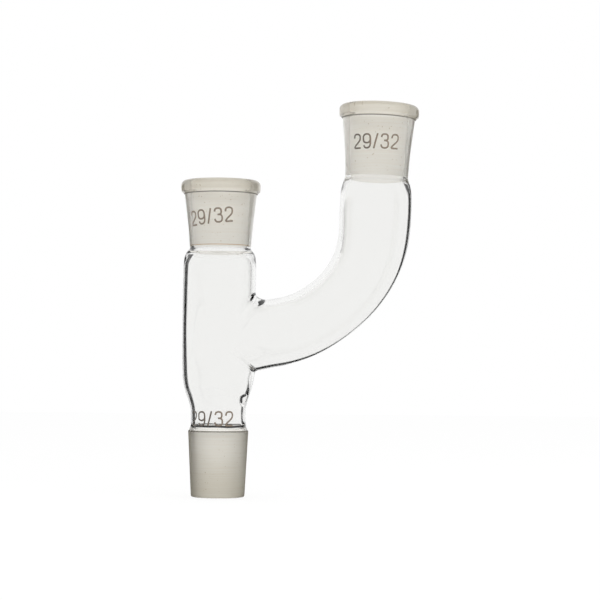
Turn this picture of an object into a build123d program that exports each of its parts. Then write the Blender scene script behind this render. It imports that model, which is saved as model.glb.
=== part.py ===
"""Two-neck adapter in borosilicate glass, blown and fused as one piece.

A male ground cone at the foot carries a straight body with a ground socket above it.
A curved arm leaves the body's side and rises to a second ground socket beside the first.
The origin is on the cone's axis at its lower end, +Z runs up that axis,
and the arm leaves towards +X. Sizes are in millimetres and degrees.
"""

from math import cos, pi, radians, sin, tan
import os

from build123d import *

# Ground joint of size 29/32: 29.2 mm at its wide end, 32 mm long, 1 in 10 on the diameter
joint_d = 29.2
joint_length = 32.0
joint_taper = 0.1

# Socket round each female joint, with a short plain bore under its ground one
main_foot_wall = 2.0
main_plain_bore = 0.4
side_foot_wall = 2.3
side_plain_bore = 2.5
socket_head_wall = 2.95
mouth_bevel = 0.9
flange_d = 39.5
flange_drop = 4.7
flange_under_bevel = 1.3
flange_top_bevel = 1.8

# Cone at the foot, and the neck above it
cone_wall = 2.4
cone_end_bevel = 0.7
cone_collar = 2.6
neck_d = 26.8
neck_wall = 2.1
neck_height = 9.0

# Body tube, with a long shoulder down to the neck and a short one up to the main socket
body_d = 35.5
body_wall = 2.25
body_height = 56.7
low_shoulder_height = 14.0
low_shoulder_round = 12.0
up_shoulder_height = 6.2

# Side arm, which rises from the body, bends upwards and widens towards the side socket
arm_step = 3.1
arm_wall = 2.1
arm_root_height = 73.9
arm_rise = 14.1
arm_reach = 74.0
bend_radius = 54.4
side_lean = 1.9
side_run = 15.2
side_head_d = 35.5
side_shoulder_height = 7.3
seal_round = 2.2

# Heights on the main axis
joint_small_d = joint_d - joint_taper * joint_length
neck_foot = joint_length + cone_collar
neck_head = neck_foot + neck_height
body_foot = neck_head + low_shoulder_height
body_head = body_foot + body_height
main_socket_foot = body_head + up_shoulder_height
main_foot_d = joint_small_d + 2 * main_foot_wall
side_foot_d = joint_small_d + 2 * side_foot_wall
socket_head_d = joint_d + 2 * socket_head_wall

# Centre line of the arm: straight out of the body, round one bend and straight up
arm_d = body_d - arm_step
arm_bore = arm_d - 2 * arm_wall
side_bore = side_head_d - 2 * arm_wall
lean = radians(side_lean)
rise = radians(arm_rise)
bend_turn = pi / 2 - lean - rise
bend_tangent = bend_radius * tan(bend_turn / 2)
arm_out = Vector(cos(rise), 0, sin(rise))
side_up = Vector(sin(lean), 0, cos(lean))
arm_root = Vector(0, 0, arm_root_height)
arm_corner = arm_root + arm_out * (arm_reach / cos(rise))
bend_foot = arm_corner - arm_out * bend_tangent
bend_head = arm_corner + side_up * bend_tangent
side_socket_foot = bend_head + side_up * (side_run + side_shoulder_height)

# Planes that the half sections are drawn in, with Y up along each neck from its socket's foot
main_neck_plane = Plane((0, 0, main_socket_foot), x_dir=(1, 0, 0), z_dir=(0, -1, 0))
side_neck_plane = Plane(side_socket_foot, x_dir=(cos(lean), 0, -sin(lean)), z_dir=(0, -1, 0))
side_axis = Axis(side_socket_foot, side_up)


def tube_section(foot_d, head_d, run, head):
    """Half section of a straight or tapered length of tube, filled in, below a given height."""
    with BuildSketch(mode=Mode.PRIVATE) as section:
        Polygon(
            (0, head - run),
            (foot_d / 2, head - run),
            (head_d / 2, head),
            (0, head),
            align=None,
        )
    return section.sketch


def neck_form(tube_d, shoulder_height, socket_foot_d, plain_bore):
    """Half section of a round shoulder and the flanged socket on it, filled in to the axis."""
    socket_height = plain_bore + joint_length + mouth_bevel
    with BuildSketch(mode=Mode.PRIVATE) as section:
        with BuildLine():
            TangentArc((tube_d / 2, -shoulder_height), (socket_foot_d / 2, 0), tangent=(0, 1))
            Polyline(
                (socket_foot_d / 2, 0),
                (socket_head_d / 2, socket_height - flange_drop - flange_under_bevel),
                (flange_d / 2, socket_height - flange_drop),
                (flange_d / 2, socket_height - flange_top_bevel),
                (flange_d / 2 - flange_top_bevel, socket_height),
                (0, socket_height),
                (0, -shoulder_height),
                (tube_d / 2, -shoulder_height),
            )
        make_face()
    return section.sketch


def neck_bore(tube_d, shoulder_height, plain_bore):
    """Half section of the space in a shoulder, the plain bore and the ground bore with its mouth."""
    ground_head = plain_bore + joint_length
    with BuildSketch(mode=Mode.PRIVATE) as section:
        Polygon(
            (0, -shoulder_height),
            (tube_d / 2, -shoulder_height),
            (joint_small_d / 2, 0),
            (joint_small_d / 2, plain_bore),
            (joint_d / 2, ground_head),
            (joint_d / 2 + mouth_bevel, ground_head + mouth_bevel),
            (0, ground_head + mouth_bevel),
            align=None,
        )
    return section.sketch


with BuildLine(Plane.XZ) as arm_line:
    Line((arm_root.X, arm_root.Z), (bend_foot.X, bend_foot.Z))
    TangentArc((bend_foot.X, bend_foot.Z), (bend_head.X, bend_head.Z), tangent=(arm_out.X, arm_out.Z))

# Outside of the glass, as one filled form
with BuildPart() as glass_form:
    # Cone, neck, long shoulder and body
    with BuildSketch(Plane.XZ):
        with BuildLine():
            Polyline(
                (0, 0),
                (joint_small_d / 2, 0),
                (joint_d / 2, joint_length),
                (neck_d / 2, neck_foot),
            )
            FilletPolyline(
                (neck_d / 2, neck_foot),
                (neck_d / 2, neck_head),
                (body_d / 2, body_foot),
                (body_d / 2, body_head),
                radius=low_shoulder_round,
            )
            Polyline((body_d / 2, body_head), (0, body_head), (0, 0))
        make_face()
    revolve(axis=Axis.Z)
    chamfer(glass_form.edges().group_by(Axis.Z)[0], length=cone_end_bevel)
    # Side arm, with a rounded seal where it is fused to the body
    with BuildSketch(Plane(arm_root, x_dir=(0, 1, 0), z_dir=arm_out)):
        Circle(arm_d / 2)
    sweep(path=arm_line.wire())
    fillet(glass_form.edges(Select.NEW), radius=seal_round)
    # Sockets
    with BuildSketch(main_neck_plane):
        add(neck_form(body_d, up_shoulder_height, main_foot_d, main_plain_bore))
    revolve(axis=Axis.Z)
    with BuildSketch(side_neck_plane):
        add(tube_section(arm_d, side_head_d, side_run, -side_shoulder_height))
        add(neck_form(side_head_d, side_shoulder_height, side_foot_d, side_plain_bore))
    revolve(axis=side_axis)

# Space inside the glass
with BuildPart() as hollow:
    # Bore of the cone and neck, and inside of the long shoulder and body
    with BuildSketch(Plane.XZ):
        with BuildLine():
            Polyline(
                (0, 0),
                (joint_small_d / 2 - cone_wall, 0),
                (neck_d / 2 - neck_wall, neck_foot),
                (neck_d / 2 - neck_wall, neck_head),
                (body_d / 2 - body_wall, body_foot),
                (body_d / 2 - body_wall, body_head),
                (0, body_head),
                (0, 0),
            )
        make_face()
    revolve(axis=Axis.Z)
    # Inside of the arm
    with BuildSketch(Plane(arm_root, x_dir=(0, 1, 0), z_dir=arm_out)):
        Circle(arm_bore / 2)
    sweep(path=arm_line.wire())
    # Ground bores of the sockets
    with BuildSketch(main_neck_plane):
        add(neck_bore(body_d - 2 * body_wall, up_shoulder_height, main_plain_bore))
    revolve(axis=Axis.Z)
    with BuildSketch(side_neck_plane):
        add(tube_section(arm_bore, side_bore, side_run, -side_shoulder_height))
        add(neck_bore(side_bore, side_shoulder_height, side_plain_bore))
    revolve(axis=side_axis)

with BuildPart() as glass_body:
    add(glass_form.part)
    add(hollow.part, mode=Mode.SUBTRACT)

glass_body.part.label = "glass_body"
os.makedirs("parts", exist_ok=True)
export_step(glass_body.part, "parts/glass_body.step")
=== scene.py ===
# Two-neck adapter in borosilicate glass: a straight body with a cone and a socket, and a bent
# side arm with a second socket, blown and fused as one piece and ground at its three joints.
# The glass is built in millimetres in the part's own frame and brought to metres at the end.
from math import atan2, cos, degrees, hypot, pi, radians, sin, sqrt, tan

import bmesh
import bpy
from mathutils import Matrix, Vector


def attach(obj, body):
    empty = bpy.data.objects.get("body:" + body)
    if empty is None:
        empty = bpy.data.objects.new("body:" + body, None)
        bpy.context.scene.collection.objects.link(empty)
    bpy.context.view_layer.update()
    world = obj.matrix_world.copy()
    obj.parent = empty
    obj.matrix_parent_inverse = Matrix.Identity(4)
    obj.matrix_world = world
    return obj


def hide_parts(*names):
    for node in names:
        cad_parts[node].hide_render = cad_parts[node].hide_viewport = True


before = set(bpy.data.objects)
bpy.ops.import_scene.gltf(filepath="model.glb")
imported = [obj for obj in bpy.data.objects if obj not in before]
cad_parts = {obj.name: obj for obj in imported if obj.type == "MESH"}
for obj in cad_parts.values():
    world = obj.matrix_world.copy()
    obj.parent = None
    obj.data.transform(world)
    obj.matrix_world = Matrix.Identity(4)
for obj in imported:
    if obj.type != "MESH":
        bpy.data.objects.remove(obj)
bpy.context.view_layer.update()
scene = bpy.context.scene
millimetre = 0.001
print("frame loaded")


def toLinear(hexColour):
    # sRGB hex to the linear colour that a shader socket takes
    parts = [int(hexColour[i:i + 2], 16) / 255 for i in (1, 3, 5)]
    return [p / 12.92 if p <= 0.04045 else ((p + 0.055) / 1.055) ** 2.4 for p in parts] + [1.0]


def between(table, at):
    # value at a place in a table of (place, value) rows
    for (a, low), (b, high) in zip(table, table[1:]):
        if at <= b:
            return low + (high - low) * max(0.0, (at - a) / (b - a))
    return table[-1][1]


def addPiece(name, mesh, materials):
    # finished piece at the origin, riding on the part's only body
    mesh.normal_update()
    data = bpy.data.meshes.new(name)
    mesh.to_mesh(data)
    mesh.free()
    for face in data.polygons:
        face.use_smooth = True
    for material in materials:
        data.materials.append(material)
    piece = bpy.data.objects.new(name, data)
    scene.collection.objects.link(piece)
    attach(piece, "root")
    return piece


def addNode(tree, kind, settings=None, links=None):
    # one node, with its settings and sockets filled in and its inputs linked
    node = tree.nodes.new(kind)
    for name, value in (settings or {}).items():
        if isinstance(name, int) or name in node.inputs:
            node.inputs[name].default_value = value
        else:
            setattr(node, name, value)
    for name, source in (links or {}).items():
        tree.links.new(source, node.inputs[name])
    return node


def newTree(name):
    material = bpy.data.materials.new(name)
    material.use_nodes = True
    material.node_tree.nodes.clear()
    return material, material.node_tree


# Finishes of the glass
clear = {
    "colour": "#F7F7F6",      # very faint grey, so that four skins of glass show against white
    "index": 1.473,           # borosilicate glass
    "waveSize": 14.0,         # mm between the slow waves that blowing leaves
    "waveDepth": 0.02,        # mm
    "shadow": "#F4F5F4",      # light that is left in its shadow
    "bead": "#1A1916",        # sharp bead above the cone: painted shade for the light it turns away
    "beadShadeShare": 0.94,
    "edge": "#4A4236",        # sharp edges under the flanges and round the cone's top, in painted shade too
    "edgeShadeShare": 0.78,
}
ground = {
    "colour": "#FFFDF6",      # joint ground with abrasive grit: matt, pale and slightly warm
    "index": 1.473,
    "roughness": 0.48,
    "matt": 0.30,             # share of the light that the grit scatters like chalk
    "shadow": "#D8D6D0",      # as above
    "line": 0.35,             # mm between the turning lines, coarser than real ones so they show
    "lineRun": 25.0,          # mm that a line runs round the joint before it fades
    "lineDepth": 0.02,        # mm
    "scratch": "#F9F4EA",     # between the lines
    "scratchEnds": (0.36, 0.62),   # where a scratch is full and where the plain colour starts
    "speck": "#C4B59C",       # grains of old grease
    "speckSize": 0.8,         # mm between the places where a grain may lie
    "speckEnds": (0.78, 0.84),     # the higher, the fewer of those places hold one
    "limbShade": "#6C685D",        # painted shade: the ground glass drawn darker where it is seen along its surface
    "boreLimbShade": (0.75, 6.0),  # share of that painted shade at the very edge of a bore, and how fast it fades
    "coneLimbShade": (0.95, 1.2),  # the same on the cone
    "darkerFoot": "#DFDCD4",     # multiplied into the cone's colour, darker towards its lower end
    "darkerFootHeight": 24.0,     # mm up the cone where it fades out
    "residue": "#BC8C50",     # thin brown line that a dried liquid left on the main bore's front
    "residueHeight": 122.15,  # mm
    "residueEnds": (0.24, 0.09),   # mm above and below that where it is gone and where it is full
    "residueFront": -2.0,     # mm, the line lies in front of this y
}
flangeShading = {
    "colour": "#D9D4C8",      # thick fire-rounded ring, tinted darker as painted shade
    "grazingShade": "#AEA38F",        # painted shade, darker still where it is seen along its skin
    "power": 2.5,             # how close to the edge that starts
}


def passShadows(tree, surface, shadow):
    # lets the lamps' light straight through, so that the shadow is only a faint tint
    path = addNode(tree, "ShaderNodeLightPath")
    through = addNode(tree, "ShaderNodeBsdfTransparent", {"Color": toLinear(shadow)})
    mix = addNode(tree, "ShaderNodeMixShader", None,
                  {0: path.outputs["Is Shadow Ray"], 1: surface.outputs[0], 2: through.outputs[0]})
    addNode(tree, "ShaderNodeOutputMaterial", None, {"Surface": mix.outputs[0]})


def clearGlass():
    # fire-polished tube: smooth, almost without colour, with slow waves from the flame
    material, tree = newTree("clearBorosilicateGlass")
    place = addNode(tree, "ShaderNodeTexCoord")
    wave = addNode(tree, "ShaderNodeTexNoise",
                   {"Scale": 1000 / clear["waveSize"], "Detail": 1.0, "Roughness": 0.4},
                   {"Vector": place.outputs["Object"]})
    bump = addNode(tree, "ShaderNodeBump",
                   {"Strength": 1.0, "Distance": clear["waveDepth"] * millimetre},
                   {"Height": wave.outputs["Fac"]})
    body = addNode(tree, "ShaderNodeBsdfPrincipled",
                   {"Base Color": toLinear(clear["colour"]), "Roughness": 0.0,
                    "IOR": clear["index"], "Transmission Weight": 1.0},
                   {"Normal": bump.outputs["Normal"]})
    passShadows(tree, body, clear["shadow"])
    return material


def darkenConeFoot(tree, height, colour):
    # darkens the cone's colour towards its lower end
    share = addNode(tree, "ShaderNodeMapRange",
                    {"From Min": ground["darkerFootHeight"] * millimetre, "From Max": 0.0},
                    {"Value": height.outputs["Z"]})
    return addNode(tree, "ShaderNodeMix", {"data_type": "RGBA", "blend_type": "MULTIPLY",
                                           7: toLinear(ground["darkerFoot"])},
                   {0: share.outputs[0], 6: colour.outputs[2]})


def addResidue(tree, height, colour):
    # thin line round the front of the main bore, near its foot
    gone, full = ground["residueEnds"]
    away = addNode(tree, "ShaderNodeMath",
                   {"operation": "SUBTRACT", 1: ground["residueHeight"] * millimetre},
                   {0: height.outputs["Z"]})
    near = addNode(tree, "ShaderNodeMath", {"operation": "ABSOLUTE"}, {0: away.outputs[0]})
    ring = addNode(tree, "ShaderNodeMapRange",
                   {"From Min": gone * millimetre, "From Max": full * millimetre},
                   {"Value": near.outputs[0]})
    front = addNode(tree, "ShaderNodeMath",
                    {"operation": "LESS_THAN", 1: ground["residueFront"] * millimetre},
                    {0: height.outputs["Y"]})
    share = addNode(tree, "ShaderNodeMath", {"operation": "MULTIPLY"},
                    {0: ring.outputs[0], 1: front.outputs[0]})
    return addNode(tree, "ShaderNodeMix", {"data_type": "RGBA", 7: toLinear(ground["residue"])},
                   {0: share.outputs[0], 6: colour.outputs[2]})


def groundGlass(name, limbShade, darkerFoot=False):
    # ground joint: fine grit marks that run round the cone, and no clear view through
    material, tree = newTree(name)
    place = addNode(tree, "ShaderNodeTexCoord")
    around, up = 1000 / ground["lineRun"], 1000 / ground["line"]
    turned = addNode(tree, "ShaderNodeMapping", {"Scale": (around, around, up)},
                     {"Vector": place.outputs["Object"]})
    lines = addNode(tree, "ShaderNodeTexNoise", {"Scale": 1.0, "Detail": 3.0, "Roughness": 0.6},
                    {"Vector": turned.outputs["Vector"]})
    bump = addNode(tree, "ShaderNodeBump",
                   {"Strength": 1.0, "Distance": ground["lineDepth"] * millimetre},
                   {"Height": lines.outputs["Fac"]})
    shade = addNode(tree, "ShaderNodeValToRGB", None, {"Fac": lines.outputs["Fac"]})
    for end, at, tone in zip(shade.color_ramp.elements, ground["scratchEnds"],
                             ("scratch", "colour")):
        end.position, end.color = at, toLinear(ground[tone])
    grains = addNode(tree, "ShaderNodeTexNoise",
                     {"Scale": 1000 / ground["speckSize"], "Detail": 0.0},
                     {"Vector": place.outputs["Object"]})
    few, full = ground["speckEnds"]
    sparse = addNode(tree, "ShaderNodeMapRange", {"From Min": few, "From Max": full},
                     {"Value": grains.outputs["Fac"]})
    colour = addNode(tree, "ShaderNodeMix", {"data_type": "RGBA", 7: toLinear(ground["speck"])},
                     {0: sparse.outputs[0], 6: shade.outputs["Color"]})
    height = addNode(tree, "ShaderNodeSeparateXYZ", None, {0: place.outputs["Object"]})
    colour = (darkenConeFoot if darkerFoot else addResidue)(tree, height, colour)
    body = addNode(tree, "ShaderNodeBsdfPrincipled",
                   {"Roughness": ground["roughness"], "IOR": ground["index"],
                    "Transmission Weight": 1.0},
                   {"Base Color": colour.outputs[2], "Normal": bump.outputs["Normal"]})
    chalk = addNode(tree, "ShaderNodeBsdfTranslucent", None,
                    {"Color": colour.outputs[2], "Normal": bump.outputs["Normal"]})
    haze = addNode(tree, "ShaderNodeMixShader", {0: ground["matt"]},
                   {1: body.outputs[0], 2: chalk.outputs[0]})
    # painted shade: a dark matt colour mixed in where the surface turns away
    most, power = limbShade
    edge = addNode(tree, "ShaderNodeLayerWeight", {"Blend": 0.5})
    curve = addNode(tree, "ShaderNodeMath", {"operation": "POWER", 1: power},
                    {0: edge.outputs["Facing"]})
    grazing = addNode(tree, "ShaderNodeMath", {"operation": "MULTIPLY", "use_clamp": True, 1: most},
                      {0: curve.outputs[0]})
    shaded = addNode(tree, "ShaderNodeBsdfDiffuse", {"Color": toLinear(ground["limbShade"])})
    matt = addNode(tree, "ShaderNodeMixShader", None,
                   {0: grazing.outputs[0], 1: haze.outputs[0], 2: shaded.outputs[0]})
    passShadows(tree, matt, ground["shadow"])
    return material


def paintedShadeGlass(name, colour, share):
    # sharp bead or edge left by the flame or the wheel, in painted shade: a dark matt colour mixed
    # into the glass stands for the light it turns away
    material, tree = newTree(name)
    body = addNode(tree, "ShaderNodeBsdfPrincipled",
                   {"Base Color": toLinear(clear["colour"]), "Roughness": 0.0,
                    "IOR": clear["index"], "Transmission Weight": 1.0})
    # painted shade
    dark = addNode(tree, "ShaderNodeBsdfDiffuse", {"Color": toLinear(colour)})
    mix = addNode(tree, "ShaderNodeMixShader", {0: share}, {1: body.outputs[0], 2: dark.outputs[0]})
    addNode(tree, "ShaderNodeOutputMaterial", None, {"Surface": mix.outputs[0]})
    return material


def flangeGlass():
    # thick rounded flange in painted shade: its glass tinted darker, most where it is seen along
    # its skin
    material, tree = newTree("flangeBorosilicateGlass")
    edge = addNode(tree, "ShaderNodeLayerWeight", {"Blend": 0.5})
    curve = addNode(tree, "ShaderNodeMath", {"operation": "POWER", 1: flangeShading["power"]},
                    {0: edge.outputs["Facing"]})
    # painted shade, darkest towards the outline
    colour = addNode(tree, "ShaderNodeMix",
                     {"data_type": "RGBA", 6: toLinear(flangeShading["colour"]),
                      7: toLinear(flangeShading["grazingShade"])}, {0: curve.outputs[0]})
    body = addNode(tree, "ShaderNodeBsdfPrincipled",
                   {"Roughness": 0.0, "IOR": clear["index"], "Transmission Weight": 1.0},
                   {"Base Color": colour.outputs[2]})
    passShadows(tree, body, clear["shadow"])
    return material


# Shape of the glass
glass = {
    "points": 32,             # points round each ring of the cage
    # wall of the main tube, outside from the foot up: radius, height
    "outside": [
        (12.30, 0.00), (12.92, 0.32), (13.05, 1.00), (13.35, 7.0), (13.70, 14.0), (14.05, 21.0),
        (14.42, 28.4), (14.58, 31.2), (14.62, 31.75), (14.55, 32.05), (13.66, 34.0), (13.38, 34.7),
        (13.36, 38.0), (13.36, 41.3), (13.42, 43.4), (13.95, 45.5), (15.28, 49.1), (16.25, 52.2),
        (17.02, 55.3), (17.60, 58.6), (17.75, 68.0), (17.75, 72.0), (17.75, 76.0), (17.75, 80.0),
        (17.75, 84.0), (17.75, 91.0), (17.75, 99.0), (17.75, 106.5), (17.75, 111.5),
        (17.74, 114.2), (17.50, 116.3), (16.85, 118.0), (15.90, 119.4), (15.20, 120.2),
    ],
    # wall inside, from the foot of the socket's bore down
    "inside": [
        (13.02, 120.30), (13.02, 118.9), (13.12, 118.2), (13.60, 117.75), (14.45, 117.1),
        (15.15, 115.9), (15.52, 114.1), (15.62, 111.5), (15.62, 106.5), (15.62, 99.0),
        (15.62, 91.0), (15.62, 84.0), (15.62, 80.0), (15.62, 76.0), (15.62, 72.0), (15.62, 68.0),
        (15.32, 58.8), (14.80, 55.3), (14.15, 52.5), (13.75, 51.4), (13.50, 50.7), (13.25, 50.0),
        (12.85, 48.9), (11.85, 45.9), (11.38, 43.5), (11.26, 41.0), (11.30, 36.5), (11.30, 35.1),
        (11.20, 34.7), (10.45, 34.5), (10.10, 34.15), (10.45, 33.8), (11.15, 33.6), (11.22, 33.2),
        (11.20, 32.0), (11.00, 22.0), (10.80, 11.0), (10.63, 1.60), (10.72, 0.40), (11.10, 0.00),
    ],
    # lumps that the welding left inside the long shoulder: height, azimuth, how far they stand in
    "lumps": [(48.9, -22.5, 2.4), (51.4, -157.5, 1.8)],
    # how near a point of the cage lies to such a place, in mm and degrees, and the bore's radius
    "lumpReach": (0.3, 3.0, 14.5),
    "beadWave": 0.14,         # mm that the bead above the cone wanders up and down
    "beadPlace": (32.8, 36.2, 11.8),   # its lowest and highest height, and its largest radius
    "mainSocketFoot": 120.9,  # mm up the main axis
    # outside of the main socket: radius, height above its foot
    "mainSocket": [
        (14.92, -0.40), (14.95, 0.2), (15.05, 2.0), (15.36, 5.6), (15.73, 10.0), (16.27, 15.0),
        (16.88, 20.0), (17.40, 24.2), (17.58, 25.8),
    ],
    # flange, mouth and ground bore of a socket, down again: radius, height above its foot
    "flange": [
        (17.66, 25.95), (17.95, 26.55), (18.95, 27.30), (19.28, 27.60), (19.35, 28.3),
        (19.45, 30.4), (19.42, 31.2), (19.10, 31.9), (18.50, 32.5), (18.00, 32.85), (17.40, 32.90),
        (16.00, 32.90), (15.60, 32.85), (15.25, 32.55), (14.75, 32.1), (14.60, 31.8),
    ],
    "bore": [(14.53, 30.6), (14.20, 24.0), (13.80, 16.0), (13.40, 8.0), (13.12, 2.3), (13.03, 0.6)],
    "hole": (68.0, 84.0, 67.5),    # heights and half width in degrees opened for the arm
    "bodyRadius": (17.75, 15.62),  # outside and inside, where the arm leaves
    "skinSlack": 0.8,         # mm off that radius at which a point still belongs to the skin
    "relax": (50.0, 116.0, 30),    # heights round the hole that are evened out, and how often
    "relaxSlack": 0.4,        # mm, as for the skin
    # how far the foot, and then the bore, lie off the axis towards the arm: height, distance
    "footShift": [(0.0, -0.15), (36.0, -0.15), (42.0, -0.35), (52.0, -0.35), (60.0, 0.0)],
    "boreLean": [(46.0, 0.0), (56.0, -0.05), (68.0, -0.05), (80.0, -0.30), (95.0, -0.12),
                 (110.0, 0.0)],
    "boreReach": (16.3, 12.0),     # largest radius of the bore, and x where its lean has faded
    # the body bows between two heights, by this much, less from one x to none at another
    "bow": (45.0, 121.0, -0.38, 18.0, 30.0),
    # finishes by height and radius, the first that fits, and clear glass elsewhere:
    # lowest and highest place, least and largest radius
    "tubeFinishes": [("groundCone", 0.2, 31.7, 12.4, 20.0), ("bead", 33.5, 34.75, 0.0, 11.3),
                     ("edge", 31.7, 32.1, 14.2, 20.0)],
    # the same above the socket's foot
    "socketFinishes": [("groundBore", 0.3, 31.9, 0.0, 14.8), ("edge", 26.0, 26.5, 14.8, 25.0),
                       ("flange", 26.0, 40.0, 14.8, 25.0)],
}
arm = {
    "rootHeight": 73.9,       # mm up the main axis, where the arm's centre line leaves it
    "rise": 14.1,             # degrees that the straight length rises
    "reach": 74.0,            # from the main axis to where the two straight lengths would meet
    "bendRadius": 54.6,       # mm, of the centre line
    "lean": 1.9,              # degrees that the side neck leans outwards
    "bendSteps": 10,          # rings of the cage in the bend
    "wall": 1.80,             # mm
    # outside radius along the arm: it narrows in the bend and widens to the side neck
    "radii": [(0.0, 16.60), (27.0, 16.65), (34.0, 16.27), (44.0, 16.00), (60.0, 15.86),
              (72.0, 16.10), (83.0, 16.54), (94.0, 17.12), (104.0, 17.52), (112.0, 17.62)],
    # how far the tube lies outside the centre line, and its bore outside the tube's middle:
    # the outer wall of the bend is stretched thin
    "tubeShift": [(20.0, 0.15), (30.0, 0.80), (38.0, 0.95), (46.0, 0.50), (52.0, 0.15),
                  (60.0, 0.15), (72.0, 0.30), (84.0, 0.35), (92.0, 0.28), (106.0, 0.0)],
    "boreShift": [(24.0, 0.2), (36.0, 0.80), (60.0, 1.05), (85.0, 0.80), (97.0, 0.20),
                  (112.0, 0.10)],
    "straight": 33.0,         # along the arm to its first flat ring
    "leaving": [0.0, 0.22, 0.46, 0.72, 1.0],   # rings from the seal to there, as shares of the way
    "sealOnBody": (4.6, 2.0, 1.4),    # width of the seal at its top, sides and bottom
    "sealOnArm": (4.0, 3.0, 1.6),
    "sealRise": (0.2, 1.8),   # mm that the seal's middle stands out and up at its top
    # side neck above the bend, outside up to its flange: radius, distance along it
    "neckOutside": [(17.62, 4.5), (17.60, 9.0), (17.44, 13.0), (17.18, 16.0), (16.75, 18.2),
                    (16.25, 19.8), (15.75, 21.1), (15.42, 22.1), (15.40, 22.8), (15.50, 25.6),
                    (15.72, 30.0), (16.07, 35.6), (16.62, 41.0), (17.20, 46.2), (17.55, 49.6),
                    (17.62, 50.6)],
    "neckShift": [(14.0, 0.0), (22.0, -0.15)],   # mm off the centre line along the neck
    "flangeFoot": 24.85,      # along the neck to where its flange's heights start
    "flangeGrow": 0.12,       # mm that it is wider than the main socket's
    "flangeMouth": 4,         # last rows of the flange, which belong to the mouth and don't grow
    # inside, from the ground bore down to the bend
    "neckInside": [(14.56, 55.2), (14.22, 49.0), (13.82, 41.0), (13.42, 33.0), (13.08, 26.4),
                   (12.95, 24.0), (12.95, 22.6), (13.10, 21.5), (13.55, 20.5), (14.30, 19.2),
                   (15.10, 17.0), (15.75, 14.4), (15.88, 10.0), (15.88, 5.0)],
    "neckBoreFade": 22.0,     # mm up the neck where the bore has come back to the middle
    # finishes as on the main tube, by the distance along the neck
    "neckFinishes": [("groundBore", 22.2, 56.8, 0.0, 14.8), ("edge", 50.82, 51.35, 0.0, 20.5),
                     ("flange", 50.82, 70.0, 0.0, 20.5)],
}
finishes = ["clear", "groundBore", "flange", "groundCone", "bead", "edge"]   # material slots
ringFill = 1 / ((2 + cos(2 * pi / glass["points"])) / 3)   # cage radius for a limit radius of 1


def armEnds():
    # distances along the arm at which its bend starts and ends, and the bend's turn
    rise, lean = radians(arm["rise"]), radians(arm["lean"])
    turn = pi / 2 - lean - rise
    straight = arm["reach"] / cos(rise) - arm["bendRadius"] * tan(turn / 2)
    return straight, straight + arm["bendRadius"] * turn, turn


def armFrame(distance):
    # centre and direction of the arm's centre line, at a distance along it from the main axis
    rise = radians(arm["rise"])
    straight, _, turn = armEnds()
    out = Vector((cos(rise), 0, sin(rise)))
    start = Vector((0, 0, arm["rootHeight"])) + out * min(distance, straight)
    if distance <= straight:
        return start, rise
    bent = min((distance - straight) / arm["bendRadius"], turn)
    heading = rise + bent
    bend = Vector((sin(heading) - sin(rise), 0, cos(rise) - cos(heading)))
    centre = start + arm["bendRadius"] * bend
    beyond = distance - straight - arm["bendRadius"] * turn
    if beyond > 0:
        centre += Vector((cos(heading), 0, sin(heading))) * beyond
    return centre, heading


def armPoint(distance, turn, radius, shift):
    # point on the arm's skin: turn is 0 on its upper side and a quarter turn towards +Y, and
    # shift moves the skin outwards off the centre line
    centre, heading = armFrame(distance)
    up = Vector((-sin(heading), 0, cos(heading)))
    return centre - shift * up + radius * (cos(turn) * up + sin(turn) * Vector((0, 1, 0)))


def sealPlace(turn, bodyRadius, armRadius):
    # where the arm's skin meets the body's: azimuth, height and distance along the arm
    rise = radians(arm["rise"])
    y = armRadius * sin(turn)
    x = sqrt(bodyRadius ** 2 - y ** 2)
    distance = (x + armRadius * cos(turn) * sin(rise)) / cos(rise)
    height = arm["rootHeight"] + distance * sin(rise) + armRadius * cos(turn) * cos(rise)
    return atan2(y, x), height, distance


def sealWidth(widths, turn):
    # width of the seal at its top, sides or bottom
    top, side, bottom = widths
    return (side + (top - side) * max(0, cos(turn)) ** 2
            + (bottom - side) * max(0, -cos(turn)) ** 2)


def sealFill(turn):
    # the glass that fills the corner over the arm
    out, up = arm["sealRise"]
    return Vector((out, 0, up)) * max(0.0, cos(turn)) ** 3


def onBody(azimuth, height, radius):
    return Vector((radius * cos(azimuth), radius * sin(azimuth), height))


def openHole(mesh, bodyRadius, armRadius, turnLayer):
    # opens one skin of the tube for the arm and draws the hole's edge to the seal's outer line
    low, high, width = glass["hole"]

    def onSkin(point):
        return abs(hypot(*point.xy) - bodyRadius) < glass["skinSlack"]

    inside = []
    for face in mesh.faces:
        centre = face.calc_center_median()
        if onSkin(centre) and low < centre.z < high \
                and abs(atan2(centre.y, centre.x)) < radians(width):
            inside.append(face)
    bmesh.ops.delete(mesh, geom=inside, context="FACES")
    edges = [e for e in mesh.edges if e.is_boundary and onSkin(e.verts[0].co)]
    points = list({v for e in edges for v in e.verts})
    middle = (low + high) / 2
    points.sort(key=lambda v: (atan2(v.co.y, v.co.z - middle) + 0.001) % (2 * pi))
    step, small = 2 * pi / len(points), 0.01
    for i, point in enumerate(points):
        turn = i * step
        azimuth, height, _ = sealPlace(turn, bodyRadius, armRadius)
        before, after = (sealPlace(turn + d, bodyRadius, armRadius) for d in (-small, small))
        along = Vector(((after[0] - before[0]) * bodyRadius, after[1] - before[1])).normalized()
        width = sealWidth(arm["sealOnBody"], turn)
        point.co = onBody(azimuth - along.y * width / bodyRadius, height + along.x * width,
                          bodyRadius)
        point[turnLayer] = turn
    return edges, points


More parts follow.
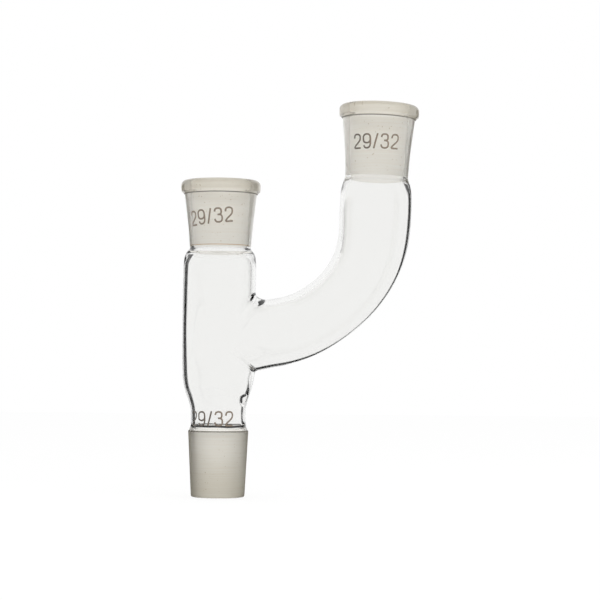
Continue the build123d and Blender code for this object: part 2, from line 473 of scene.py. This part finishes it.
def relaxBody(mesh, wall, held):
    # evens out the rings round the hole, and puts each point back on the tube's skin
    low, high, rounds = glass["relax"]
    table = sorted((z, r) for r, z in wall)
    loose = [v for v in mesh.verts if low < v.co.z < high and v not in held
             and abs(hypot(*v.co.xy) - between(table, v.co.z) * ringFill) < glass["relaxSlack"]]
    for _ in range(rounds):
        bmesh.ops.smooth_vert(mesh, verts=loose, factor=0.5,
                              use_axis_x=True, use_axis_y=True, use_axis_z=True)
        for v in loose:
            size = between(table, v.co.z) * ringFill / hypot(*v.co.xy)
            v.co.x, v.co.y = v.co.x * size, v.co.y * size


def growRing(mesh, edges, turnLayer, place):
    # next ring of the arm's wall, grown from the open edge of the last one
    grown = bmesh.ops.extrude_edge_only(mesh, edges=edges)["geom"]
    points = {g for g in grown if isinstance(g, bmesh.types.BMVert)}
    for point in points:
        point.co = place(point[turnLayer])
    return [g for g in grown if isinstance(g, bmesh.types.BMEdge) and set(g.verts) <= points]


def setFinish(face, rows, height, radius):
    # gives a face the first finish that its place fits
    for finish, low, high, least, most in rows:
        if low < height < high and least < radius < most:
            face.material_index = finishes.index(finish)
            return


def turnTube(mesh):
    # main tube: one closed line of the wall, turned round the axis
    foot = glass["mainSocketFoot"]
    socket = [(r, foot + z) for r, z in glass["mainSocket"] + glass["flange"] + glass["bore"]]
    line = glass["outside"] + socket + glass["inside"]
    wire = [mesh.verts.new((r * ringFill, 0, z)) for r, z in line]
    edges = [mesh.edges.new((wire[i], wire[(i + 1) % len(wire)])) for i in range(len(wire))]
    bmesh.ops.spin(mesh, geom=wire + edges, cent=(0, 0, 0), axis=(0, 0, 1), angle=2 * pi,
                   steps=glass["points"], use_merge=True, use_duplicate=False)
    bmesh.ops.remove_doubles(mesh, verts=mesh.verts, dist=0.001)
    for face in mesh.faces:
        centre = face.calc_center_median()
        radius = hypot(*centre.xy)
        setFinish(face, glass["tubeFinishes"], centre.z, radius)
        setFinish(face, glass["socketFinishes"], centre.z - foot, radius)


def growArm(mesh, turnLayer):
    # side arm: opened out of both skins of the body, and grown ring by ring up its outside,
    # over the flange and down the bore again
    outBody, inBody = (r * ringFill for r in glass["bodyRadius"])
    outArm = arm["radii"][0][1] * ringFill
    inArm = outArm - arm["wall"] * ringFill
    outEdges, outPoints = openHole(mesh, outBody, outArm, turnLayer)
    inEdges, inPoints = openHole(mesh, inBody, inArm, turnLayer)
    relaxBody(mesh, glass["outside"], set(outPoints))
    relaxBody(mesh, glass["inside"], set(inPoints))

    def armSkin(distance, turn, wall):
        # outer skin where the wall is nothing, and otherwise the bore
        shift = between(arm["tubeShift"], distance)
        if wall:
            shift += between(arm["boreShift"], distance)
        radius = (between(arm["radii"], distance) - wall) * ringFill
        return armPoint(distance, turn, radius, shift)

    def seal(body, radius):
        def place(turn):
            azimuth, height, _ = sealPlace(turn, body, radius)
            return onBody(azimuth, height, body) + sealFill(turn)
        return place

    def leaveSeal(share, body, radius, wall):
        def place(turn):
            _, _, start = sealPlace(turn, body, radius)
            start += sealWidth(arm["sealOnArm"], turn)
            return armSkin(start + (arm["straight"] - start) * share, turn, wall)
        return place

    neckFoot = armEnds()[1]
    bendStep = (neckFoot - arm["straight"]) / arm["bendSteps"]
    stations = [arm["straight"] + bendStep * (i + 1) for i in range(arm["bendSteps"])]
    flange = [(r, arm["flangeFoot"] + z) for r, z in glass["flange"]]
    rim = [(r + arm["flangeGrow"], z) for r, z in flange[:-arm["flangeMouth"]]]
    mouth = flange[-arm["flangeMouth"]:]
    boreShift = between(arm["boreShift"], neckFoot)

    edges = growRing(mesh, outEdges, turnLayer, seal(outBody, outArm))
    for share in arm["leaving"]:
        edges = growRing(mesh, edges, turnLayer, leaveSeal(share, outBody, outArm, 0))
    for distance in stations:
        edges = growRing(mesh, edges, turnLayer, lambda turn: armSkin(distance, turn, 0))
    for radius, along in arm["neckOutside"] + rim + mouth:
        shift = between(arm["neckShift"], along)
        edges = growRing(mesh, edges, turnLayer,
                         lambda turn: armPoint(neckFoot + along, turn, radius * ringFill, shift))
    for radius, along in arm["neckInside"]:
        shift = (between(arm["neckShift"], along)
                 + boreShift * max(0.0, 1 - along / arm["neckBoreFade"]))
        edges = growRing(mesh, edges, turnLayer,
                         lambda turn: armPoint(neckFoot + along, turn, radius * ringFill, shift))
    for distance in reversed(stations):
        edges = growRing(mesh, edges, turnLayer, lambda turn: armSkin(distance, turn, arm["wall"]))
    for share in reversed(arm["leaving"]):
        edges = growRing(mesh, edges, turnLayer, leaveSeal(share, inBody, inArm, arm["wall"]))
    edges = growRing(mesh, edges, turnLayer, seal(inBody, inArm))
    bmesh.ops.bridge_loops(mesh, edges=edges + inEdges)

    base, heading = armFrame(neckFoot)
    up = Vector((cos(heading), 0, sin(heading)))
    for face in mesh.faces:
        offset = face.calc_center_median() - base
        height = offset.dot(up)
        setFinish(face, arm["neckFinishes"], height, (offset - up * height).length)


def unevenGlass(mesh):
    # what blowing by hand leaves: lumps, a wandering bead, a bowed body and a bore off the middle
    nearHeight, nearTurn, boreRadius = glass["lumpReach"]
    beadLow, beadHigh, beadRadius = glass["beadPlace"]
    for v in mesh.verts:
        for height, azimuth, depth in glass["lumps"]:
            aside = abs(degrees(atan2(v.co.y, v.co.x)) - azimuth)
            if abs(v.co.z - height) < nearHeight and aside < nearTurn \
                    and hypot(*v.co.xy) < boreRadius:
                v.co.xy *= 1 - depth / hypot(*v.co.xy)
        if beadLow < v.co.z < beadHigh and hypot(*v.co.xy) < beadRadius:
            azimuth = atan2(v.co.y, v.co.x)
            v.co.z += glass["beadWave"] * (sin(3 * azimuth + 1.0) + 0.7 * sin(7 * azimuth))
    low, high, sag, near, far = glass["bow"]
    for v in mesh.verts:
        v.co.x += between(glass["footShift"], v.co.z)
        if low < v.co.z < high:
            share = min(1.0, max(0.0, (far - v.co.x) / (far - near)))
            v.co.x += sag * share * sin(pi * (v.co.z - low) / (high - low)) ** 0.7
    boreRadius, leanEnd = glass["boreReach"]
    for v in mesh.verts:
        if hypot(*v.co.xy) < boreRadius and v.co.x < leanEnd:
            v.co.x += between(glass["boreLean"], v.co.z) * min(1.0, (leanEnd - v.co.x) / leanEnd)


def blowGlass():
    mesh = bmesh.new()
    turnLayer = mesh.verts.layers.float.new("turn")   # each point's turn round the arm
    turnTube(mesh)
    growArm(mesh, turnLayer)
    unevenGlass(mesh)
    mesh.verts.layers.float.remove(turnLayer)
    bmesh.ops.recalc_face_normals(mesh, faces=mesh.faces)
    bmesh.ops.scale(mesh, vec=(millimetre,) * 3, verts=mesh.verts)
    piece = addPiece("twoNeckAdapterGlass", mesh, [     # in the order of the list of finishes
        clearGlass(),
        groundGlass("groundBoreGlass", ground["boreLimbShade"]),
        flangeGlass(),
        groundGlass("groundConeGlass", ground["coneLimbShade"], darkerFoot=True),
        # the bead and the sharp edges in painted shade
        paintedShadeGlass("beadPaintedShadeGlass", clear["bead"], clear["beadShadeShare"]),
        paintedShadeGlass("edgePaintedShadeGlass", clear["edge"], clear["edgeShadeShare"]),
    ])
    smooth = piece.modifiers.new("smooth", "SUBSURF")
    smooth.levels = smooth.render_levels = 2
    smooth.use_limit_surface = True
    bpy.context.view_layer.update()
    smoothed = piece.evaluated_get(bpy.context.evaluated_depsgraph_get())
    piece.data = bpy.data.meshes.new_from_object(smoothed)
    piece.modifiers.clear()
    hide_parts("glass_body")
    return piece


glassPiece = blowGlass()
print("glass blown:", len(glassPiece.data.polygons), "faces")


# Size marks: the joint size in fired enamel, on both sockets and on the neck above the cone
sizeMark = {
    "text": "29/32",          # plain numbers
    "height": 6.6,            # mm, between the middles of the strokes
    "stroke": 0.80,
    "advance": {"figure": 0.79, "/": 0.52},   # to the next figure, as a share of the height
    "thickness": 0.05,        # mm
    "lift": 0.01,             # air under the print, so that the skins don't touch
    "colour": "#6E6154",      # iron brown enamel, thin enough to look greyish on matt glass
    "worn": "#85796B",
    "wornEnds": (0.38, 0.75), # where the full colour ends and where the worn one is reached
    "speck": 0.35,            # mm between the pits of the firing
    # height of the middle, degrees from the front towards +X, and tilt of each mark
    "onMainTube": [(135.45, -17.2, 5.2), (38.2, -16.5, 0.5)],
    "onSideNeck": [(38.55, -6.8, 1.0)],   # its height is the distance along the neck
}
# strokes of each figure on a field one unit high: control points of smooth lines
figures = {
    "2": [[(0.04, 0.72), (0.05, 0.90), (0.17, 1.0), (0.40, 1.0), (0.53, 0.90), (0.55, 0.71),
           (0.50, 0.53), (0.28, 0.33), (0.06, 0.14), (0.01, 0.0)],
          [(0.01, 0.0), (0.56, 0.0)]],
    "3": [[(0.05, 0.77), (0.07, 0.92), (0.18, 1.0), (0.40, 1.0), (0.51, 0.91), (0.53, 0.77),
           (0.51, 0.62), (0.42, 0.54), (0.24, 0.54)],
          [(0.24, 0.54), (0.44, 0.54), (0.55, 0.43), (0.57, 0.27), (0.54, 0.10), (0.41, 0.0),
           (0.18, 0.0), (0.05, 0.09), (0.02, 0.25)]],
    "9": [[(0.55, 0.68), (0.54, 0.86), (0.41, 1.0), (0.16, 1.0), (0.02, 0.86), (0.01, 0.68),
           (0.02, 0.49), (0.15, 0.37), (0.40, 0.37), (0.53, 0.50), (0.55, 0.68)],
          [(0.55, 0.68), (0.56, 0.30), (0.47, 0.06), (0.34, 0.0), (0.18, 0.0), (0.07, 0.08),
           (0.04, 0.20)]],
    "/": [[(0.0, -0.05), (0.29, 1.05)]],
}


def firedEnamel():
    # ceramic ink burnt into the glass: matt, brown-grey, a little uneven in strength
    material, tree = newTree("firedEnamel")
    place = addNode(tree, "ShaderNodeTexCoord")
    speck = addNode(tree, "ShaderNodeTexNoise", {"Scale": 1000 / sizeMark["speck"], "Detail": 3.0},
                    {"Vector": place.outputs["Object"]})
    shade = addNode(tree, "ShaderNodeValToRGB", None, {"Fac": speck.outputs["Fac"]})
    for end, at, tone in zip(shade.color_ramp.elements, sizeMark["wornEnds"], ("colour", "worn")):
        end.position, end.color = at, toLinear(sizeMark[tone])
    ink = addNode(tree, "ShaderNodeBsdfPrincipled", {"Roughness": 0.55, "IOR": 1.5},
                  {"Base Color": shade.outputs["Color"]})
    addNode(tree, "ShaderNodeOutputMaterial", None, {"Surface": ink.outputs[0]})
    return material


def flatMark(tilt):
    # the numbers as flattened strokes of one width, centred, in mm
    size = sizeMark["height"]
    curve = bpy.data.curves.new("sizeMark", "CURVE")
    curve.dimensions = "3D"
    curve.bevel_depth, curve.bevel_resolution = sizeMark["stroke"] / 2 / size, 3
    curve.use_fill_caps = True
    start = 0.0
    for figure in sizeMark["text"]:
        for line in figures[figure]:
            spline = curve.splines.new("NURBS")
            spline.points.add(len(line) - 1)
            for point, (x, y) in zip(spline.points, line):
                point.co = (start + x, y, 0, 1)
            spline.order_u, spline.use_endpoint_u, spline.resolution_u = 3, True, 5
        start += sizeMark["advance"]["/" if figure == "/" else "figure"]
    maker = bpy.data.objects.new("sizeMark", curve)
    data = bpy.data.meshes.new_from_object(maker)
    mesh = bmesh.new()
    mesh.from_mesh(data)
    bpy.data.objects.remove(maker)
    bmesh.ops.remove_doubles(mesh, verts=mesh.verts, dist=1e-5)
    xs, ys = [v.co.x for v in mesh.verts], [v.co.y for v in mesh.verts]
    middle = Vector((min(xs) + max(xs), min(ys) + max(ys), 0)) / 2
    bmesh.ops.translate(mesh, vec=-middle, verts=mesh.verts)
    flat = sizeMark["thickness"] / sizeMark["stroke"]
    bmesh.ops.scale(mesh, vec=(size, size, size * flat), verts=mesh.verts)
    bmesh.ops.rotate(mesh, matrix=Matrix.Rotation(radians(tilt), 3, "Z"), verts=mesh.verts)
    return mesh


def wrapMark(mesh, middle, aside, onSkin, skin):
    # bends the flat print round a neck, at the height of its middle
    radius = skin(middle)
    lift = sizeMark["lift"] + sizeMark["thickness"] / 2
    for v in mesh.verts:
        angle = radians(aside - 90) + v.co.x / radius
        v.co = onSkin(angle, middle + v.co.y, skin(middle + v.co.y) + v.co.z + lift)
    bmesh.ops.recalc_face_normals(mesh, faces=mesh.faces)


def joinMesh(whole, part):
    # adds one bmesh to another
    data = bpy.data.meshes.new("part")
    part.to_mesh(data)
    part.free()
    whole.from_mesh(data)
    bpy.data.meshes.remove(data)


def printMarks():
    marks = bmesh.new()
    foot = glass["mainSocketFoot"]
    mainSkin = sorted([(z, r) for r, z in glass["outside"]]
                      + [(foot + z, r) for r, z in glass["mainSocket"]])
    sideSkin = [(z, r) for r, z in arm["neckOutside"]]
    base, heading = armFrame(armEnds()[1])
    up = Vector((cos(heading), 0, sin(heading)))
    across = Vector((up.z, 0, -up.x))

    def onSide(angle, height, radius):
        outwards = cos(angle) * across + sin(angle) * Vector((0, 1, 0))
        return base + up * height + radius * outwards

    for places, onSkin, table in ((sizeMark["onMainTube"], onBody, mainSkin),
                                  (sizeMark["onSideNeck"], onSide, sideSkin)):
        for middle, aside, tilt in places:
            mesh = flatMark(tilt)
            wrapMark(mesh, middle, aside, onSkin, lambda at: between(table, at))
            joinMesh(marks, mesh)
    bmesh.ops.scale(marks, vec=(millimetre,) * 3, verts=marks.verts)
    return addPiece("sizeMarks", marks, [firedEnamel()])


markPiece = printMarks()
print("size marks printed:", len(markPiece.data.polygons), "faces")


# Stage: white surroundings, a pale floor, and black cards that draw the glass's outer edges
stage = {
    "floorHeight": -0.5,      # mm, just under the cone
    "floorSize": 3000.0,      # mm
    "floorShade": 0.12,       # share of the floor's white that shadows can take away
    "worldLight": 0.9,        # strength of the surroundings on matt surfaces
    # black card left of the body, and one that follows the arm's outside: place in x and z, and
    # the distances behind the axis at which the card starts and ends there
    "leftCard": [(-64, 0, 29, 108), (-64, 160, 29, 108)],
    "rightCard": [(139, 200, 34, 118), (138, 135, 36, 118), (134, 105, 44, 114),
                  (120, 74, 48, 100), (108, 58, 50, 84), (97, 48, 50, 75), (82, 38, 50, 95),
                  (60, 25, 46, 150), (40, 18, 46, 160), (18, 12, 46, 160)],
    "cardColour": "#161615",
    "cardSkins": 2.5,         # light that has passed more skins of glass than this misses the cards
    # place, size and power of each soft lamp, in mm and watts
    "lamps": [((-420, -620, 620), 500, 0.9), ((560, -520, 420), 500, 2.4)],
    "lampsAim": (40, 0, 90),
}


def addStageObject(name, mesh, material):
    bmesh.ops.scale(mesh, vec=(millimetre,) * 3, verts=mesh.verts)
    data = bpy.data.meshes.new(name)
    mesh.to_mesh(data)
    mesh.free()
    data.materials.append(material)
    thing = bpy.data.objects.new(name, data)
    scene.collection.objects.link(thing)
    return thing


def seenDirectly(tree):
    # 1 for light that reaches the camera straight, off gloss or through glass
    path = addNode(tree, "ShaderNodeLightPath")
    seen = addNode(tree, "ShaderNodeMath", {"operation": "MAXIMUM"},
                   {0: path.outputs["Is Camera Ray"], 1: path.outputs["Is Glossy Ray"]})
    return addNode(tree, "ShaderNodeMath", {"operation": "MAXIMUM"},
                   {0: seen.outputs[0], 1: path.outputs["Is Transmission Ray"]}).outputs[0]


def setWorld():
    world = bpy.data.worlds.new("studio")
    scene.world = world
    world.use_nodes = True
    tree = world.node_tree
    tree.nodes.clear()
    white = addNode(tree, "ShaderNodeBackground", {"Color": toLinear("#FFFFFF"), "Strength": 1.0})
    light = addNode(tree, "ShaderNodeBackground",
                    {"Color": toLinear("#FFFFFF"), "Strength": stage["worldLight"]})
    mix = addNode(tree, "ShaderNodeMixShader", None,
                  {0: seenDirectly(tree), 1: light.outputs[0], 2: white.outputs[0]})
    addNode(tree, "ShaderNodeOutputWorld", None, {"Surface": mix.outputs[0]})


def setFloor():
    # white paper that looks as white as the surroundings and keeps a faint shadow
    material, tree = newTree("whitePaper")
    paper = addNode(tree, "ShaderNodeBsdfDiffuse", {"Color": toLinear("#FFFFFF")})
    glow = addNode(tree, "ShaderNodeEmission", {"Color": toLinear("#FFFFFF"), "Strength": 1.0})
    share = addNode(tree, "ShaderNodeMath", {"operation": "MULTIPLY", 1: 1 - stage["floorShade"]},
                    {0: seenDirectly(tree)})
    mix = addNode(tree, "ShaderNodeMixShader", None,
                  {0: share.outputs[0], 1: paper.outputs[0], 2: glow.outputs[0]})
    addNode(tree, "ShaderNodeOutputMaterial", None, {"Surface": mix.outputs[0]})
    mesh = bmesh.new()
    bmesh.ops.create_grid(mesh, x_segments=1, y_segments=1, size=stage["floorSize"] / 2)
    bmesh.ops.translate(mesh, vec=(0, 0, stage["floorHeight"]), verts=mesh.verts)
    addStageObject("floor", mesh, material)


def setCards():
    # black cards that only light kept inside the wall of the glass finds: it has passed at most
    # two skins, and what crosses a whole tube has passed four
    material, tree = newTree("blackCard")
    path = addNode(tree, "ShaderNodeLightPath")
    crossed = addNode(tree, "ShaderNodeMath",
                      {"operation": "GREATER_THAN", 1: stage["cardSkins"]},
                      {0: path.outputs["Transmission Depth"]})
    black = addNode(tree, "ShaderNodeEmission",
                    {"Color": toLinear(stage["cardColour"]), "Strength": 1.0})
    none = addNode(tree, "ShaderNodeBsdfTransparent")
    mix = addNode(tree, "ShaderNodeMixShader", None,
                  {0: crossed.outputs[0], 1: black.outputs[0], 2: none.outputs[0]})
    addNode(tree, "ShaderNodeOutputMaterial", None, {"Surface": mix.outputs[0]})
    for side in ("leftCard", "rightCard"):
        mesh = bmesh.new()
        rows = [[mesh.verts.new((x, y, z)) for y in (start, end)]
                for x, z, start, end in stage[side]]
        for (a, b), (c, d) in zip(rows, rows[1:]):
            mesh.faces.new((a, b, d, c))
        card = addStageObject(side, mesh, material)
        card.visible_camera = card.visible_diffuse = card.visible_shadow = False


def setLamps():
    aim = Vector(stage["lampsAim"])
    for i, (place, size, power) in enumerate(stage["lamps"]):
        data = bpy.data.lights.new(f"softLamp{i}", "AREA")
        data.shape = "SQUARE"
        data.size, data.energy = size * millimetre, power
        lamp = bpy.data.objects.new(f"softLamp{i}", data)
        turn = (aim - Vector(place)).to_track_quat("-Z", "Y").to_matrix().to_4x4()
        lamp.matrix_world = Matrix.Translation(Vector(place) * millimetre) @ turn
        lamp.visible_glossy = lamp.visible_transmission = False
        scene.collection.objects.link(lamp)


setWorld()
setFloor()
setCards()
setLamps()

# Camera, at the photograph's viewing angle
camera = {
    "place": (39.06, -877.0, 64.3),    # mm
    "pitch": 2.07,            # degrees up
    "roll": 0.49,             # degrees
    "lens": 108.0,            # mm
    "sensor": 36.0,
}


def setCamera():
    data = bpy.data.cameras.new("camera")
    data.lens, data.sensor_width = camera["lens"], camera["sensor"]
    data.clip_start, data.clip_end = 0.01, 20.0
    eye = bpy.data.objects.new("camera", data)
    scene.collection.objects.link(eye)
    turn = (Matrix.Rotation(radians(90 + camera["pitch"]), 4, "X")
            @ Matrix.Rotation(radians(camera["roll"]), 4, "Z"))
    eye.matrix_world = Matrix.Translation(Vector(camera["place"]) * millimetre) @ turn
    scene.camera = eye


setCamera()
scene.view_settings.view_transform = "Standard"
print("stage set")
